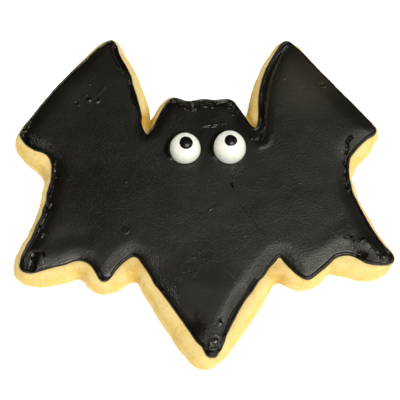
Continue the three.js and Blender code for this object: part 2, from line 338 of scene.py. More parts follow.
# Its crumb: slow waves, grain, and the pores where the butter bubbled
PORES = 260
PORE_WIDTHS = (0.2, 0.42)
PORE_DEPTH = 0.35
FOOT_ENDS = 0.6
points, normals = places_of(cookie)
rise = rumple(points, DOUGH_RELIEF, seed=2)
chance = np.random.default_rng(seed=7)
for spot in points[chance.integers(0, len(points), PORES)]:
    wide = chance.uniform(*PORE_WIDTHS)
    away = np.linalg.norm(points - spot, axis=1) / wide
    rise -= PORE_DEPTH * wide * np.exp(-(away**2))
rise *= ramp(points[:, 2], 0, FOOT_ENDS)
press(cookie, rise)

# How brown it is: real browning on the underside and round the foot, painted shade in the notches
# where the outline turns in, and more at places listed, with x, y and how much: painted shade in
# the two notches, painted light (below 0) on the left ear's inner wall, and darker patches
# elsewhere
BROWNING_AND_SHADE = np.array([
    (22.0, 48.0, 0.3), (18.5, 41.0, 0.45), (16.5, 35.0, 0.6), (14.5, 29.5, 0.9),
    (-16.5, 25.0, 0.9), (-12.0, 31.0, 0.8), (-19.0, 36.0, -0.3), (-22.0, 44.5, -0.5),
    (-55.5, 22.0, 0.35), (-53.0, 14.0, 0.3), (-47.5, 5.0, 0.5), (-48.5, -7.0, 0.5),
    (-51.0, -13.0, 0.35), (-54.5, -19.0, 0.45), (-33.0, -28.0, 0.25), (-13.0, -36.0, 0.45),
    (-6.0, -47.0, 0.45), (-18.5, -25.0, 0.35), (22.5, -28.5, 0.35), (25.0, -31.0, 0.2),
    (14.5, -36.0, 0.15), (44.0, 8.0, 0.2),
])  # fmt: skip
BROWNING_AND_SHADE_REACH = 4.0
HOLLOW_REACH = 2.6
HOLLOWS = (0.05, 0.9)
HOLLOW_SHADE, FOOT_TOAST, UNDER_TOAST = 0.4, 0.45, 0.9
FOOT_BROWN_BELOW = 1.5
FACING_DOWN = (0.5, 0.9)
SIDE_GOLD_AND_SHADE_BELOW = 4.6
# Painted shade in the notches: the crumb is painted darker wherever the outline turns inward.
far_around = eased(dough_line.loop, HOLLOW_REACH) - dough_line.loop
hollow = -np.sum(far_around * dough_line.inward, axis=1)[dough_line.nearest(points)]
toast = HOLLOW_SHADE * ramp(hollow, *HOLLOWS)
toast += FOOT_TOAST * ramp(-points[:, 2], -FOOT_BROWN_BELOW, 0)
toast += UNDER_TOAST * ramp(-normals[:, 2], *FACING_DOWN)
away = np.linalg.norm(points[:, None, :2] - BROWNING_AND_SHADE[:, :2], axis=2) / BROWNING_AND_SHADE_REACH
toast += np.exp(-(away**2)) @ BROWNING_AND_SHADE[:, 2]
mark_points(cookie, "toast", toast)
# The side walls are painted gold below the top edge, partly as painted shade and bounce light.
mark_points(cookie, "side", ramp(-points[:, 2], -DOUGH_TOP, -SIDE_GOLD_AND_SHADE_BELOW))


class Wire:
    """A socket of a material's node tree. Arithmetic on wires adds Math nodes to the tree."""

    def __init__(self, tree, socket=None):
        self.tree = tree
        self.socket = socket

    def node(self, kind, settings=None, sockets=None, output=0):
        """Adds a node: its settings first, then a value or a wire for each of its sockets."""
        made = self.tree.nodes.new(kind)
        for name, value in (settings or {}).items():
            if name == "stops":
                while len(made.color_ramp.elements) < len(value):
                    made.color_ramp.elements.new(1)
                for stop, (position, color) in zip(made.color_ramp.elements, value):
                    stop.position, stop.color = position, (*color, 1)
            else:
                setattr(made, name, value)
        for name, value in (sockets or {}).items():
            if isinstance(value, Wire):
                self.tree.links.new(value.socket, made.inputs[name])
            else:
                made.inputs[name].default_value = value
        return Wire(self.tree, made.outputs[output] if made.outputs else None)

    def math(self, operation, *values):
        return self.node("ShaderNodeMath", {"operation": operation}, dict(enumerate(values)))

    def __add__(self, other):
        return self.math("ADD", self, other)

    def __sub__(self, other):
        return self.math("SUBTRACT", self, other)

    def __rsub__(self, other):
        return self.math("SUBTRACT", other, self)

    def __mul__(self, other):
        return self.math("MULTIPLY", self, other)

    __radd__ = __add__
    __rmul__ = __mul__

    def between(self, low, high):
        """0 where this is below low, 1 above high, and smooth between them."""
        return self.node(
            "ShaderNodeMapRange", {"interpolation_type": "SMOOTHSTEP"},
            {"Value": self, "From Min": low, "From Max": high})  # fmt: skip

    def blend(self, first, second):
        """The first colour where this is 0 and the second where it is 1."""
        colors = {0: self, 6: first, 7: second}
        return self.node("ShaderNodeMix", {"data_type": "RGBA"}, colors, output=2)

    def mottle(self, width, detail=2, seed=0):
        """Noise whose patches are about that wide in mm, from 0 to 1."""
        place = self.node("ShaderNodeTexCoord", output=3)
        return self.node(
            "ShaderNodeTexNoise", {"noise_dimensions": "4D"},
            {"Vector": place, "W": seed, "Scale": 1 / (width * MM), "Detail": detail})  # fmt: skip

    def number(self, name):
        """A number that the mesh gives each of its points."""
        return self.node("ShaderNodeAttribute", {"attribute_name": name}, output=2)

    def bumped(self, distance, strength):
        """A normal that this height shapes, distance in mm."""
        sockets = {"Strength": strength, "Distance": distance * MM, "Height": self}
        return self.node("ShaderNodeBump", {}, sockets)


def material(name, dress):
    """A material whose surface sockets are what dress makes of an empty wire."""
    made = bpy.data.materials.new(name)
    made.use_nodes = True
    made.node_tree.nodes.clear()
    start = Wire(made.node_tree)
    surface = start.node("ShaderNodeBsdfPrincipled", {}, dress(start))
    start.node("ShaderNodeOutputMaterial", {}, {"Surface": surface})
    return made


CRUMB_PALE = (0.82, 0.63, 0.26, 1)
CRUMB_GOLD_AND_SHADE = (0.77, 0.52, 0.12, 1)
CRUMB_BROWN_AND_SHADE = (0.50, 0.29, 0.035, 1)


def baked_dough(wire):
    """Pale crumb, gold on the side walls partly as painted shade, brown where it baked and in
    painted shade.
    """
    patches = wire.mottle(width=3.5, detail=3)
    grain = wire.mottle(width=0.6, detail=3, seed=3)
    specks = wire.mottle(width=0.45, detail=1, seed=5).between(0.62, 0.7)
    # The gold on the sides is painted shade and bounce light on the walls, mixed with the crumb's
    # own gold patches and grain.
    gold_and_shade = wire.number("side") * 0.4 + (patches - 0.5) * 1.8 + (grain - 0.5) * 2.0
    # Real browning at the foot and underside, painted shade in the notches, plus patches and
    # specks.
    toast = wire.number("toast") + (patches - 0.5) * 0.8 + specks * 0.55
    color = gold_and_shade.between(-0.1, 0.9).blend(CRUMB_PALE, CRUMB_GOLD_AND_SHADE)
    color = toast.between(0.1, 1.5).blend(color, CRUMB_BROWN_AND_SHADE)
    crumb = grain + wire.mottle(width=0.25, detail=3, seed=8) * 0.6
    return {
        "Base Color": color,
        "Roughness": 0.72 + patches * 0.18,
        "Specular IOR Level": 0.18,
        "Subsurface Weight": 0.12,
        "Subsurface Radius": (1, 0.55, 0.2),
        "Subsurface Scale": 1.2 * MM,
        "Normal": crumb.bumped(distance=0.12, strength=0.5),
    }


cookie.data.materials.append(material("baked dough", baked_dough))
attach(cookie, "root")
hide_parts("cookie")

# The icing. Stiff black royal icing piped as a thin bead along the cookie's edge, then
# flooded inside the bead with runnier icing, which rolls down to it all round and dried to a
# satin skin. The bag left ridges, gaps and blobs where it turned, and bubbles burst.
ICING_LINE_HEIGHT = DOUGH_TOP + 0.3
ICING_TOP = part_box("eye_left")[0].z / MM
ICING_EASE = 0.25
ICING_SPREAD = 0.04
ICING_WOBBLE = ((6, 0.16), (1.5, 0.06))
FLOOD_WAVES = ((12, 0.09), (4, 0.025))
BEAD_WAVES = ((4, 0.12), (1.3, 0.025))
BEAD_SWELLS = ((5, 0.3),)
ICING_THINNEST = 0.14
FINEST = 0.15
RING_DEPTHS = (0.12, 0.24, 0.36, 0.48, 0.62, 0.76, 0.9, 1.03, 1.16, 1.3, 1.46, 1.66, 1.95, 2.35,
               2.8, 3.3)  # fmt: skip
FOOT_INSET = 0.8
FOOT_SINK = 0.3
ICING_UNDER_STARTS = 1.5
WALL_SECTION = ((0.85, 0), (0.65, -0.06), (0.45, -0.18), (0.25, -0.34), (0.05, -0.55))

# Where the bag wandered off an even line along the cookie's edge: x, y and how far out
ICING_STRAYS = [
    (26.1, 53.9, 1.2), (28.6, 51.4, -0.05), (30.7, 49.0, 0.3), (32.9, 46.3, 0.35),
    (35.0, 43.5, 0.35), (37.2, 40.8, 0.3), (39.3, 38.1, 0.3), (41.5, 35.4, 0.3),
    (43.6, 32.8, 0.35), (45.8, 30.1, 0.3), (48.0, 27.4, 0.3), (24.8, 52.0, 0.1),
    (23.6, 50.6, -0.15), (22.2, 48.7, -0.4), (21.0, 46.6, -0.6), (20.0, 44.5, -0.65),
    (19.0, 42.2, -0.4), (18.2, 39.9, -0.55), (17.5, 37.6, -0.65), (17.0, 35.2, -0.65),
    (16.7, 32.8, -0.8), (16.4, 30.4, -0.85), (16.3, 28.0, -0.9), (16.3, 25.8, -1.0),
    (16.4, 23.9, -1.1), (16.6, 22.4, -0.4), (15.6, 21.2, 0.7),
    (14.0, 24.2, 0.45), (11.5, 29.0, 0.15), (8.0, 31.0, 0.15), (4.0, 31.2, -0.05),
    (0.2, 31.3, 0.65), (-4.5, 31.4, -0.35), (-8.3, 31.4, 0.7), (-11.2, 30.3, -0.15),
    (-12.7, 28.0, -0.25), (-14.4, 24.9, -0.55), (-15.7, 22.2, -0.85), (-16.6, 19.8, 0.3),
    (-17.9, 22.5, -0.45), (-22.4, 40.0, 0.5), (-23.6, 43.4, 0.3), (-27.4, 51.6, 0.55),
    (-30.3, 52.7, -0.3), (-55.5, 19.1, 0.0), (-49.6, 13.8, 0.6), (-47.4, 12.5, -0.15),
    (-45.9, 3.0, -0.3), (-47.2, -4.0, -0.45), (-48.2, -8.5, -0.4), (-49.8, -12.9, -0.05),
    (-51.0, -15.8, -0.33), (-52.8, -20.5, -0.3), (-53.9, -24.5, -0.35), (-52.9, -27.0, -0.3),
    (-40.5, -24.5, 0.35), (-34.0, -23.9, 0.25),
    (-28.6, -29.9, 0.35), (-19.0, -22.7, -0.15), (-13.8, -30.8, 0.3), (-10.3, -36.1, -0.05),
    (-6.5, -42.0, -0.08), (-3.2, -47.2, -0.1), (0.0, -51.9, -0.75), (1.3, -53.6, 0.35),
    (3.4, -54.4, -0.4), (5.3, -52.9, 0.3), (6.3, -49.6, 0.15), (14.5, -33.0, 0.28),
    (18.0, -27.8, 0.35), (21.0, -23.8, 0.35), (41.0, -21.7, 0.33), (48.6, -24.1, 0.35),
    (51.6, -24.6, 0.3), (53.9, -18.4, -0.2), (45.4, -0.5, -0.22), (45.2, 10.8, -0.45),
]  # fmt: skip
icing_line = Outline(
    corners_at("icing", ICING_LINE_HEIGHT), ICING_EASE, ICING_WOBBLE, ICING_STRAYS, seed=3,
    spread=ICING_SPREAD)  # fmt: skip

# The section through the bead: how high its surface lies over the dough's top
BEAD_SPACING = 0.05
bead_section = smooth_path([(0, 0.3), (0.12, 0.5), (0.34, 0.7), (0.6, 0.77), (0.84, 0.68),
                            (1.04, 0.42), (1.2, 0.2), (1.6, 0.1)], BEAD_SPACING)  # fmt: skip

# Behind the bead lies a groove, and from there the flood climbs to its full height. How that
# goes at some places along the edge: x, y, the bead's width against the section's, the height
# of the groove's floor, and how far the flood's slope reaches
EDGE_SHAPES = np.array([
    (-46.0, -24.0, 0.8, 0.8, 2.4), (-38.0, -22.0, 0.8, 0.8, 2.6), (-32.0, -25.0, 0.9, 0.5, 2.8),
    (-26.0, -27.0, 0.9, 0.55, 2.8), (-20.0, -21.0, 0.8, 0.4, 3.6), (-12.0, -30.0, 0.8, 0.3, 6.0),
    (-5.0, -41.0, 0.8, 0.35, 6.5), (3.0, -50.0, 0.9, 1.1, 2.0), (8.0, -43.0, 0.6, 0.2, 4.4),
    (12.0, -36.0, 0.6, 0.2, 4.4), (16.5, -29.0, 0.7, 0.25, 3.6), (19.5, -24.0, 0.9, 0.45, 3.4),
    (24.0, -25.0, 1.0, 0.1, 3.0), (28.0, -29.0, 0.9, 0.3, 5.0), (31.0, -26.0, 0.9, 0.35, 7.0),
    (37.0, -21.5, 1.0, 0.75, 4.0), (45.0, -20.0, 1.2, 0.2, 5.5), (53.0, -22.0, 0.9, 0.65, 3.0),
    (50.0, -12.0, 1.0, 0.3, 4.0), (45.0, 0.0, 1.0, 0.3, 4.0), (46.0, 17.0, 0.8, 0.4, 5.0),
    (34.0, 43.0, 0.8, 0.4, 7.0), (47.0, 27.0, 0.8, 0.4, 6.0), (18.0, 28.0, 0.9, 0.3, 4.5),
    (20.0, 40.0, 0.9, 0.3, 5.5), (-24.5, 44.0, 0.7, 0.5, 1.8), (-20.0, 30.0, 0.7, 0.5, 1.8),
    (-28.0, 53.0, 0.6, 0.5, 2.0), (0.0, 31.0, 0.8, 0.4, 2.5), (-42.0, 37.0, 0.6, 0.5, 4.0),
    (-46.0, 0.0, 0.9, 0.3, 4.0), (-49.0, -15.0, 0.9, 0.3, 4.0),
])  # fmt: skip
EDGE_REACH = 5.0
FAR_PULL = 1e-4
FLOOD_EASE = 0.8
FLOOD_MARGIN = 1
BEAD_ENDS = 1.25
FLOOD_STARTS = 0.7
WAVES_GROW = (0.6, 4)


def edge_shape(places):
    """The bead's width, the groove's height and the flood's reach at some places."""
    away = np.linalg.norm(places[:, None] - EDGE_SHAPES[:, :2], axis=2) / EDGE_REACH
    pull = np.exp(-(away**2)) + FAR_PULL / (1 + away**4)
    return (pull @ EDGE_SHAPES[:, 2:] / pull.sum(axis=1, keepdims=True)).T


class Flood:
    """The flood's surface over the dough's top, which its own tension has smoothed."""

    def __init__(self):
        self.low = icing_line.loop.min(0) - FLOOD_MARGIN
        grid = lattice(self.low, icing_line.loop.max(0) + FLOOD_MARGIN, SPACING)
        self.rows = len(np.unique(grid[:, 0]))
        width, floor, reach = edge_shape(grid)
        climb = np.clip((icing_line.depth(grid) - BEAD_ENDS * width) / reach, 0, 1)
        full = ICING_TOP - DOUGH_TOP
        height = floor + (full - floor) * (1 - (1 - climb) ** 2)
        wave = [np.fft.fftfreq(size, SPACING) for size in (self.rows, len(grid) // self.rows)]
        kept = np.exp(-2 * (math.pi * FLOOD_EASE) ** 2 * np.add.outer(wave[0] ** 2, wave[1] ** 2))
        self.heights = np.fft.ifft2(np.fft.fft2(height.reshape(self.rows, -1)) * kept).real

    def at(self, places):
        spots = (places - self.low) / SPACING
        first = np.clip(spots.astype(int), 0, np.array(self.heights.shape) - 2)
        (i, j), (u, v) = first.T, (spots - first).T
        near = (1 - v) * self.heights[i, j] + v * self.heights[i, j + 1]
        far = (1 - v) * self.heights[i + 1, j] + v * self.heights[i + 1, j + 1]
        return (1 - u) * near + u * far


flood = Flood()


def mark(path, width, height, steep=2, lip=0.0):
    """A spot or a line where the icing was left raised or, with a height below 0, pressed in."""
    path = [path] if isinstance(path[0], (int, float)) else path
    even = smooth_path(path, FINEST) if len(path) > 1 else np.array(path, float)
    return {"path": even, "width": width, "height": height, "steep": steep, "lip": lip}


MARKS = [
    # left ear: three burst bubbles with torn lips, two specks, and the trail of one bubble
    mark((-38.6, 29.9), 0.42, -0.3),
    mark([(-38.1, 29.8), (-37.9, 29.3)], 0.3, 0.16),
    mark((-38.0, 31.1), 0.2, 0.08),
    mark((-35.3, 31.8), 0.5, -0.45, steep=3),
    mark([(-35.2, 31.0), (-34.8, 30.7), (-34.4, 30.9)], 0.34, 0.22),
    mark((-32.5, 31.2), 0.42, -0.4, steep=3),
    mark([(-32.4, 30.3), (-31.9, 30.4), (-31.6, 31.1)], 0.28, 0.18),
    mark((-34.7, 36.6), 0.26, 0.12),
    mark([(-29.9, 35.8), (-30.9, 34.4), (-32.0, 32.5)], 0.2, 0.045),
    # left ear, inner edge: the flood stopped short of the bead in two places
    mark([(-27.3, 50.5), (-26.3, 46.9), (-25.2, 44.5), (-24.0, 42.4)], 0.55, -0.9, steep=4),
    mark([(-28.1, 51.5), (-28.0, 47.4), (-27.1, 45.3), (-25.9, 43.1), (-24.4, 41.2)], 0.25, 0.2),
    mark([(-22.3, 37.3), (-21.6, 34.0), (-20.9, 31.3), (-20.0, 29.0)], 0.45, -0.9, steep=4),
    mark([(-23.0, 37.8), (-22.5, 34.9), (-21.7, 31.6), (-20.7, 28.9)], 0.25, 0.15),
    mark((-21.2, 32.2), 0.2, 0.35),
    # left wing tip: a blown bubble with a bright rim, and a hollow behind the bead
    mark((-53.9, 21.2), 0.8, -0.6, steep=4),
    mark([(-52.2, 24.4), (-53.0, 21.8), (-53.6, 20.4), (-54.7, 19.9)], 0.22, 0.4),
    mark([(-54.1, 18.5), (-52.3, 15.8), (-49.8, 13.9), (-47.4, 12.8)], 0.55, -0.35),
    mark([(-52.5, 16.9), (-51.8, 15.9)], 0.22, 0.4),
    # left rim: beads, waves and a hole where the bag shook
    mark([(-44.7, 10.4), (-44.5, 9.2)], 0.3, 0.5),
    mark([(-44.5, 9.0), (-44.3, 6.6)], 0.2, 0.25),
    mark((-44.2, 4.3), 0.24, 0.45),
    mark([(-44.6, 1.6), (-45.2, -0.4), (-45.4, -2.3)], 0.2, 0.2),
    mark((-45.6, -5.6), 0.95, -0.5, steep=4),
    mark([(-45.4, -5.0), (-45.7, -6.0)], 0.4, 0.95),
    mark([(-45.6, -7.9), (-46.3, -9.4), (-46.9, -11.3), (-47.8, -12.8)], 0.22, 0.45),
    mark([(-46.3, -7.9), (-47.2, -10.4), (-48.3, -12.6), (-48.6, -13.9)], 0.22, 0.35),
    mark([(-46.0, -8.3), (-46.8, -10.4), (-47.6, -12.0)], 0.2, -0.35),
    mark([(-47.9, -15.9), (-47.0, -14.9)], 0.24, 0.6),
    mark([(-49.0, -14.6), (-49.8, -17.0), (-51.2, -20.0), (-52.3, -23.8)], 0.28, 0.22),
    # left lower wing tip: a hollow that the flood never filled, with drops inside it, and a wide
    # low dip behind it
    mark([(-49.5, -22.2), (-49.9, -24.2), (-50.1, -25.9)], 1.3, -0.95, steep=5),
    mark([(-49.8, -20.9), (-48.4, -20.9), (-46.9, -21.1), (-46.4, -22.0)], 0.3, -0.4),
    mark([(-47.3, -22.2), (-47.0, -24.4)], 0.8, 0.25),
    mark((-47.9, -20.3), 0.24, 0.45),
    mark([(-45.0, -17.0), (-36.0, -16.0)], 3.0, -0.12),
    mark((-49.7, -21.6), 0.2, 0.3),
    mark([(-50.2, -22.7), (-50.4, -23.6)], 0.18, 0.35),
    mark([(-50.5, -25.6), (-50.1, -26.3)], 0.2, 0.35),
    # head: the crust scraped up along the top, with a pit and crumbs of icing
    mark([(-9.2, 31.0), (-8.2, 31.6), (-7.4, 31.1)], 0.5, 0.7),
    mark((-8.3, 30.2), 0.4, -0.35),
    mark([(-6.8, 30.3), (-5.0, 29.4), (-2.7, 29.9), (0.7, 29.1), (3.4, 28.5), (6.1, 28.7)],
         0.2, 0.4),
    mark([(-5.7, 30.6), (-2.6, 30.8), (0.7, 30.1), (3.0, 29.5)], 0.28, -0.4),
    mark([(3.0, 28.9), (4.2, 29.8), (5.4, 30.4), (7.5, 30.8), (8.9, 30.1)], 0.22, 0.4),
    mark((-2.8, 28.5), 0.46, -0.7, steep=3, lip=0.2),
    mark([(-3.3, 27.4), (-2.4, 27.3), (-1.8, 28.2)], 0.2, 0.4),
    mark([(-5.4, 28.3), (-5.1, 27.8)], 0.22, 0.45),
    mark((-4.7, 28.8), 0.2, 0.35),
    mark((-4.3, 27.5), 0.2, 0.3),
    mark((7.2, 29.8), 0.3, 0.35),
    mark((8.6, 29.1), 0.32, -0.4),
    mark((9.6, 29.3), 0.28, 0.4),
    mark([(8.2, 28.3), (9.4, 28.5)], 0.2, 0.25),
    mark([(10.2, 28.7), (11.0, 27.4)], 0.22, 0.3),
    mark((9.3, 26.1), 0.24, 0.45),
    mark((9.2, 27.6), 0.2, 0.3),
    mark([(-13.7, 22.8), (-11.9, 26.8), (-9.9, 29.4)], 0.25, 0.14),
    # above the right eye: two scratches with torn lips, and two specks
    mark([(0.2, 21.6), (1.5, 21.8), (2.4, 22.1)], 0.2, 0.22),
    mark([(0.7, 21.1), (2.4, 21.4)], 0.22, -0.2),
    mark([(3.2, 21.8), (3.8, 22.1), (4.7, 22.4)], 0.2, 0.26),
    mark([(3.0, 21.2), (4.4, 21.6)], 0.22, -0.24),
    mark((6.1, 22.6), 0.2, 0.2),
    mark((6.9, 22.8), 0.18, 0.15),
    # the icing drew up against the upper left of both eyes
    mark([(-3.6, 17.4), (-5.6, 18.5), (-7.7, 17.8), (-9.4, 16.2), (-10.1, 14.6), (-10.2, 12.7),
          (-9.5, 11.3), (-7.8, 11.0)], 0.75, 0.4),
    mark([(9.9, 18.4), (7.9, 19.1), (5.7, 18.4), (4.0, 16.7), (3.2, 15.0), (3.0, 13.0), (3.7, 11.5),
          (5.5, 11.3)], 0.75, 0.4),
    # left crook between ear and head: the bead stands up
    mark([(-15.9, 17.6), (-15.0, 19.3), (-14.1, 21.4)], 0.34, 0.2),
    # right ear, inner edge: two thin beads piped side by side, ending in a hook
    mark([(24.8, 49.4), (23.4, 48.0), (22.6, 46.7), (21.2, 43.8), (19.7, 40.0), (18.9, 36.7),
          (18.3, 31.3), (18.0, 26.3), (18.1, 22.8), (18.0, 19.9)], 0.26, 0.26),
    mark([(26.5, 51.3), (24.9, 49.6), (23.8, 47.3), (22.7, 44.2), (21.0, 39.6), (20.0, 35.2),
          (19.4, 31.0), (19.0, 27.0), (18.8, 23.4), (18.7, 20.9)], 0.4, 0.5),
    mark([(24.2, 48.6), (23.1, 46.4), (21.7, 43.6), (20.2, 39.8), (19.4, 36.0), (18.8, 31.4),
          (18.5, 27.0), (18.4, 23.0)], 0.22, -0.4),
    mark([(18.1, 19.9), (17.5, 17.9), (16.8, 16.8)], 0.5, -0.35),
    mark([(16.4, 16.6), (18.2, 16.9), (19.2, 18.7)], 0.6, -0.15),
    mark([(15.2, 19.0), (15.1, 17.6)], 0.4, 0.14),
    mark([(17.5, 14.5), (19.3, 15.2), (20.4, 16.8), (20.7, 18.7)], 0.9, 0.15),
    # right ear: a bubble near the outer edge, two specks, and a ridge at the wing tip
    mark((36.9, 37.0), 0.45, -0.6, steep=3),
    mark((37.7, 36.2), 0.36, 0.24),
    mark((25.4, 38.7), 0.24, 0.12),
    mark((23.2, 37.2), 0.2, 0.08),
    mark([(51.3, 22.4), (52.1, 20.9)], 0.24, 0.3),
    # right notch: the flood tore away from the bead in short cracks, with drops between them
    mark([(45.3, 18.2), (44.4, 17.3), (43.8, 15.7), (44.0, 14.7), (43.4, 12.5)], 0.28, -0.85,
         steep=3),
    mark([(42.7, 10.1), (42.8, 9.0), (43.1, 8.2)], 0.24, -0.75, steep=3),
    mark([(42.9, 6.1), (43.0, 5.5)], 0.32, -0.85, steep=3),
    mark([(43.1, 1.7), (43.4, 0.8)], 0.35, -0.9, steep=3),
    mark([(43.2, 5.0), (43.5, 3.8), (43.6, 2.8)], 0.2, 0.25),
    mark((43.5, 11.8), 0.25, 0.45),
    mark((42.8, 10.9), 0.2, 0.2),
    mark((43.9, 0.2), 0.28, 0.5),
    # right lower wing: two gouges with torn lips, a hollow and a swell behind the bead, and the
    # blob where the piping ended
    mark([(42.0, -16.1), (42.8, -15.8), (43.9, -16.1)], 0.26, -0.5),
    mark([(42.8, -16.5), (43.8, -16.6)], 0.3, 0.3),
    mark([(43.8, -16.7), (44.4, -17.0)], 0.2, -0.3),
    mark([(44.8, -17.3), (46.0, -17.1), (46.9, -16.7), (47.5, -16.3)], 0.32, -0.7, steep=3),
    mark([(46.9, -17.5), (47.9, -16.9)], 0.22, 0.25),
    mark([(45.4, -21.4), (47.7, -21.8)], 0.6, -0.32),
    mark([(45.4, -17.7), (48.8, -18.0)], 1.1, 0.22),
    mark([(46.4, -23.1), (48.8, -24.0), (51.7, -24.7)], 0.22, 0.2),
    mark([(51.2, -21.2), (51.7, -22.0), (51.9, -23.2)], 0.2, -0.2),
    mark((50.6, -22.6), 0.7, 0.15),
    mark((53.3, -22.7), 1.0, 0.38),
    mark([(54.8, -21.2), (55.1, -22.0), (55.1, -23.2), (54.6, -24.2)], 0.25, -0.35),
    # middle: a torn nick, a crack below the right eye and the hairline that runs on from it
    mark([(2.2, -7.2), (3.1, -6.6)], 0.2, 0.22),
    mark((1.8, -6.8), 0.22, -0.3),
    mark([(3.0, -6.0), (3.8, -4.6)], 0.16, -0.05),
    mark([(11.0, 8.2), (9.8, 6.0), (9.2, 4.4), (8.6, 2.9)], 0.2, -0.2, lip=0.55),
    mark([(9.6, 7.4), (8.9, 5.0)], 0.18, -0.14),
    mark((8.7, 3.2), 0.24, 0.2),
    mark([(8.7, 2.4), (8.8, 1.4), (9.2, 0.6)], 0.2, -0.26),
    mark([(10.2, -0.6), (11.2, -4.4), (13.0, -7.5), (15.3, -10.9), (18.5, -15.5)], 0.18, -0.05),
    # left wing and lobe: a pit, a hole by the notch, the groove and blob behind the lobe's bead
    mark((-22.6, -14.0), 0.4, -0.42, steep=3, lip=0.3),
    mark((-20.4, -21.4), 0.42, -0.5, steep=3),
    mark([(-29.9, -28.2), (-28.1, -29.3), (-26.4, -28.2)], 0.3, -0.26),
    mark((-28.2, -30.1), 0.35, 0.2),
    # specks
    mark((-2.4, -22.6), 0.22, 0.28),
    mark((-22.8, 2.6), 0.18, 0.2),
    mark((29.4, 2.1), 0.2, 0.16),
    mark((12.6, -15.5), 0.2, 0.08),
    mark((-1.5, -41.3), 0.2, 0.15),
    mark((1.0, -45.9), 0.22, 0.2),
    # right diagonal: the flood kept away from the bead
    mark([(15.5, -29.8), (14.4, -31.5), (12.6, -34.8), (10.6, -37.9), (8.6, -41.1), (7.4, -44.3),
          (6.4, -47.0)], 0.3, -0.95, steep=3),
    # tail: a notch, a smear, the ring where the nozzle lifted, and the folded blob at the tip
    mark((5.1, -43.0), 0.36, -0.5, steep=3),
    mark((5.4, -43.8), 0.4, 0.28),
    mark([(5.2, -45.0), (4.6, -47.4)], 0.9, 0.08),
    mark((3.8, -49.2), 0.36, 0.4),
    mark([(3.1 + 1.1 * math.cos(a), -51.0 + 1.1 * math.sin(a)) for a in np.linspace(0, 6.0, 13)],
         0.24, 0.12),
    mark((3.1, -51.0), 0.8, -0.06, steep=6),
    mark([(0.9, -51.9), (2.6, -52.9), (4.3, -52.2), (5.5, -50.9)], 0.28, -0.65, steep=3),
    mark([(2.3, -53.5), (3.8, -53.0), (5.4, -52.0)], 0.4, 0.24),
    mark((2.0, -53.1), 0.24, 0.3),
]  # fmt: skip
MARK_REACH = 4
LIP_AT, LIP_WIDTH = 1.7, 0.6
WET_SLOPES = (0.2, 0.6)


def marked(places):
    """What all the marks add to the icing's height, and how freshly wet they make it look."""
    rise, gloss = np.zeros(len(places)), np.zeros(len(places))
    for spot in MARKS:
        reach = MARK_REACH * spot["width"]
        low, high = spot["path"].min(0) - reach, spot["path"].max(0) + reach
        close = np.flatnonzero(np.all((places > low) & (places < high), axis=1))
        if not len(close):
            continue
        gaps = np.linalg.norm(places[close, None] - spot["path"][None], axis=2)
        away = gaps.min(1) / spot["width"]
        shape = np.exp(-(away ** spot["steep"]))
        lip = spot["lip"] * np.exp(-(((away - LIP_AT) / LIP_WIDTH) ** 2))
        rise[close] += spot["height"] * (shape - lip)
        fresh = ramp(abs(spot["height"]) / spot["width"], *WET_SLOPES)
        gloss[close] = np.maximum(gloss[close], shape * fresh)
    return rise, gloss


def icing_height(places):
    """Height of the icing's surface: its section, slow waves and the marks."""
    depth = icing_line.depth(places)
    width = edge_shape(places)[0] * (1 + rumple(places, BEAD_SWELLS, seed=11))
    bead = np.interp(depth / width, *bead_section.T) + rumple(places, BEAD_WAVES, seed=5)
    bead[depth > BEAD_ENDS * width] = 0
    over = np.maximum(bead, np.where(depth > FLOOD_STARTS * width, flood.at(places), 0))
    over += rumple(places, FLOOD_WAVES, seed=6) * ramp(depth, *WAVES_GROW)
    return DOUGH_TOP + np.maximum(over + marked(places)[0], ICING_THINNEST)


# Its top surface: rings along the edge, and a lattice that is finer round the marks
WIDE_STEP, MIDDLE_STEP = 4, 2
MIDDLE_REACH, FINE_REACH = 1.9, 0.85
LATTICE_STARTS = RING_DEPTHS[-1] + 0.3
rings = []
for inset in RING_DEPTHS:
    places, clear = icing_line.moved_in(inset)
    rings.append(places[clear])
mark_spots = np.vstack([spot["path"] for spot in MARKS])
mark_tree = KDTree(len(mark_spots))
for number, (x, y) in enumerate(mark_spots):
    mark_tree.insert((x, y, 0), number)
mark_tree.balance()
field = lattice(icing_line.loop.min(0), icing_line.loop.max(0), FINEST)
step = np.rint((field - field[0]) / FINEST).astype(int)
near = np.array([mark_tree.find((x, y, 0))[2] for x, y in field.tolist()])
wide = np.all(step % WIDE_STEP == 0, axis=1)
middling = np.all(step % MIDDLE_STEP == 0, axis=1) & (near < MIDDLE_REACH)
field = field[wide | middling | (near < FINE_REACH)]
field = field[icing_line.depth(field) > LATTICE_STARTS]
inner = np.vstack([*rings, field])
edge = icing_line.loop
count = len(edge)
edge_height = icing_height(edge)

# Its edge: a wall that leans in under the bead, down to the dough, and a foot sunk into it
dough_under = dough_height(edge)
wall = []
for share, out in WALL_SECTION:
    height = dough_under + share * (edge_height - dough_under)
    wall.append(np.column_stack([edge - out * icing_line.inward, height]))
foot = edge + FOOT_INSET * icing_line.inward
wall.append(np.column_stack([foot, dough_height(foot) - FOOT_SINK]))
wall.reverse()
under = lattice(edge.min(0), edge.max(0), COARSE)
under = under[icing_line.depth(under) > ICING_UNDER_STARTS]
under = np.column_stack([under, dough_height(under) - FOOT_SINK])

points = np.vstack([*wall, np.column_stack([edge, edge_height]),
                    np.column_stack([inner, icing_height(inner)]), under])  # fmt: skip
rows = np.arange((len(wall) + 1) * count).reshape(-1, count)
top_numbers = rows[-1][0] + np.arange(count + len(inner))
under_numbers = np.concatenate([rows[0], rows[-1][0] + count + len(inner) + np.arange(len(under))])
faces = [band(low, high) for low, high in zip(rows, rows[1:])]
faces.append(top_numbers[tiled(edge, inner)])
faces.append(under_numbers[tiled(foot, under[:, :2])][:, ::-1])
icing = solid("black_icing", points, faces)

